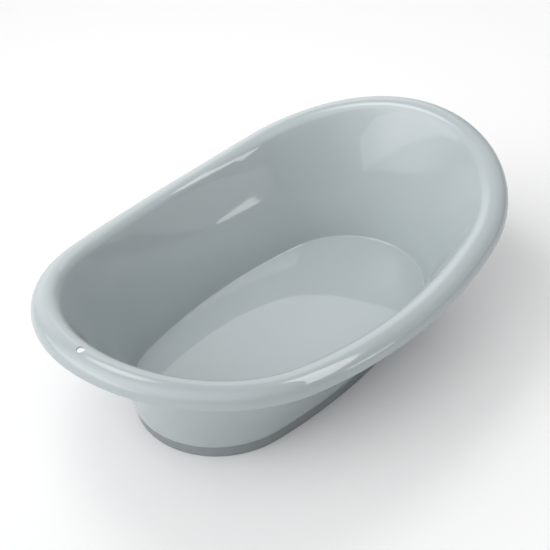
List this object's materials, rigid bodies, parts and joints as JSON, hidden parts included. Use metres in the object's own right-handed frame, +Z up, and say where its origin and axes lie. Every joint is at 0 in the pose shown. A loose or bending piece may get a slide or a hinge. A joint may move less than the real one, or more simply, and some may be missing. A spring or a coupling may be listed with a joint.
{
  "type": "baby bathtub",
  "caption": "Oval moulded baby bathtub with a rolled rim that rises to both ends, a hanging hole, a soft foot ring and a lift-out drain plug.",
  "frame": {"origin": "on the ground under the middle of the rim's outline", "axes": "+X from the foot end (with the hanging hole) to the higher head end, +Y across, +Z up"},
  "size_m": [0.79, 0.5266, 0.2575],
  "materials": {
    "basin_plastic": "glossy moulded polypropylene, pale blue-grey",
    "foot_ring_rubber": "matt thermoplastic rubber, mid grey",
    "plug_plastic": "satin moulded polypropylene, pale blue-grey",
    "seal_rubber": "soft matt silicone, light grey"
  },
  "bodies": {
    "tub": {"basin": "basin_plastic", "foot_ring": "foot_ring_rubber"},
    "plug": {"drain_plug": "plug_plastic", "plug_seal": "seal_rubber"}
  },
  "joints": [
    {"name": "plug_lift", "type": "slide", "parent": "tub", "child": "plug", "axis": [0, 0, 1], "range_m": [0, 0.26]}
  ]
}
